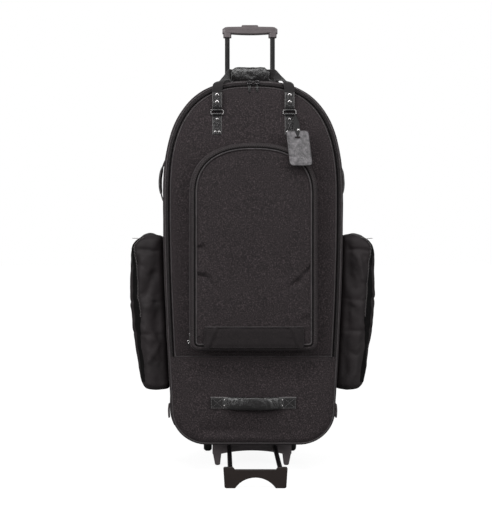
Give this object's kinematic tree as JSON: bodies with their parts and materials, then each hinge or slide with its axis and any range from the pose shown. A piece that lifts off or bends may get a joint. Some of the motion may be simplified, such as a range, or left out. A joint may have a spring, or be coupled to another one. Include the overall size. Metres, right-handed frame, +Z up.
{
  "type": "wheeled instrument bag",
  "caption": "Tall padded zip bag for a tuba on a wheeled base, with telescopic handle, pull-out stand foot, arched front pocket, side pockets and leather carry straps.",
  "frame": {"origin": "on the floor at the middle of the footprint, with the stand foot pulled out", "axes": "+Z up, the front with the large pocket faces -Y, +X to the right as seen from the front"},
  "size_m": [0.743, 0.691, 1.427],
  "materials": {
    "cloth": "coarse woven polyester",
    "nylon": "soft padded nylon",
    "webbing": "woven webbing",
    "hide": "glossy black leather",
    "tag_hide": "matt grey leather",
    "moulded": "fine grained",
    "stand_plastic": "satin",
    "tyre": "plain tread",
    "steel": "plated",
    "dark_tube": "dark anodised",
    "zip": "coil zip on woven tape",
    "foam": "foam under a napped lining",
    "board": "smooth sheet"
  },
  "bodies": {
    "bag": {"tub_shell": "cloth", "main_zip": "zip", "lower_front_panel": "cloth", "bottom_board": "board", "bottom_cradle": "foam", "back_board": "board", "hold_strap": "webbing", "side_pocket_left": "nylon", "side_pocket_right": "nylon", "side_handle_left": "hide", "side_handle_right": "hide", "shoulder_strap_left": "cloth", "shoulder_strap_right": "cloth", "bottom_handle": "hide", "rear_webbing": "webbing", "tube_cover": "cloth", "handle_bezel": "moulded", "outer_tube_left": "steel", "outer_tube_right": "steel", "trolley_base": "moulded", "axle_left": "steel", "axle_right": "steel", "wheel_guard_left": "moulded", "wheel_guard_right": "moulded"},
    "lid": {"lid_panel": "cloth", "pocket_gusset": "cloth", "lower_tab_left": "hide", "lower_tab_right": "hide", "main_slider_left": "steel", "main_slider_right": "steel"},
    "pocket_lid": {"pocket_cover": "cloth", "flat_pocket": "cloth"},
    "pocket_zip": {"pocket_slider": "steel"},
    "carry_handle": {"carry_webbing": "webbing", "grip_wrap": "hide", "ring_left": "steel", "ring_right": "steel", "upper_tab_left": "hide", "upper_tab_right": "hide"},
    "tag": {"luggage_tag": "tag_hide", "tag_cord": "hide"},
    "main_pull_a": {"main_pull_left": "hide"},
    "main_pull_b": {"main_pull_right": "hide"},
    "side_pull_a": {"side_pull_left": "steel"},
    "side_pull_b": {"side_pull_right": "steel"},
    "handle": {"grip_upper": "moulded", "grip_lower": "moulded", "inner_tube_left": "dark_tube", "inner_tube_right": "dark_tube"},
    "release": {"release_button": "moulded", "release_linkage": "steel"},
    "wheel_a": {"tyre_left": "tyre", "hub_left": "moulded", "bearing_left": "steel"},
    "wheel_b": {"tyre_right": "tyre", "hub_right": "moulded", "bearing_right": "steel"},
    "stand": {"stand_plate": "stand_plastic", "stand_rod_left": "dark_tube", "stand_rod_right": "dark_tube"}
  },
  "joints": [
    {"name": "lid_hinge", "type": "hinge", "parent": "bag", "child": "lid", "pos_m": [0, -0.1295, 0.352], "axis": [1, 0, 0], "range_deg": [0, 95]},
    {"name": "pocket_cover_hinge", "type": "hinge", "parent": "lid", "child": "pocket_lid", "pos_m": [0, -0.1724, 0.376], "axis": [1, 0, 0], "range_deg": [0, 35]},
    {"name": "pocket_zip_slide", "type": "slide", "parent": "lid", "child": "pocket_zip", "axis": [0, 0, 1], "range_m": [0, 0.39]},
    {"name": "carry_handle_swing", "type": "hinge", "parent": "lid", "child": "carry_handle", "pos_m": [0, -0.1343, 1.08], "axis": [1, 0, 0], "range_deg": [0, 95]},
    {"name": "tag_swing", "type": "hinge", "parent": "lid", "child": "tag", "pos_m": [0.1243, -0.1343, 1.08], "axis": [-1, 0, 0], "range_deg": [0, 30]},
    {"name": "main_pull_left_lift", "type": "hinge", "parent": "lid", "child": "main_pull_a", "pos_m": [-0.0115, -0.13136, 1.17046], "axis": [-1, 0, 0], "range_deg": [0, 100]},
    {"name": "main_pull_right_lift", "type": "hinge", "parent": "lid", "child": "main_pull_b", "pos_m": [0.0115, -0.13136, 1.17046], "axis": [-1, 0, 0], "range_deg": [0, 100]},
    {"name": "side_pull_left_lift", "type": "hinge", "parent": "bag", "child": "side_pull_a", "pos_m": [-0.3523, -0.0365, 0.7095], "axis": [0, 1, 0], "range_deg": [0, 110]},
    {"name": "side_pull_right_lift", "type": "hinge", "parent": "bag", "child": "side_pull_b", "pos_m": [0.3523, -0.0365, 0.7095], "axis": [0, -1, 0], "range_deg": [0, 110]},
    {"name": "handle_slide", "type": "slide", "parent": "bag", "child": "handle", "axis": [0, 0, 1], "range_m": [-0.23, 0]},
    {"name": "release_press", "type": "slide", "parent": "handle", "child": "release", "axis": [0, 0, -1], "range_m": [0, 0.004], "stiffness_N_per_m": 1500, "springref_m": -0.004},
    {"name": "wheel_left_spin", "type": "hinge", "parent": "bag", "child": "wheel_a", "pos_m": [-0.1409, 0.2955, 0.05], "axis": [1, 0, 0], "continuous": true},
    {"name": "wheel_right_spin", "type": "hinge", "parent": "bag", "child": "wheel_b", "pos_m": [0.1409, 0.2955, 0.05], "axis": [1, 0, 0], "continuous": true},
    {"name": "stand_slide", "type": "slide", "parent": "bag", "child": "stand", "axis": [0, -0.9998, -0.0209], "range_m": [-0.245, 0]}
  ]
}
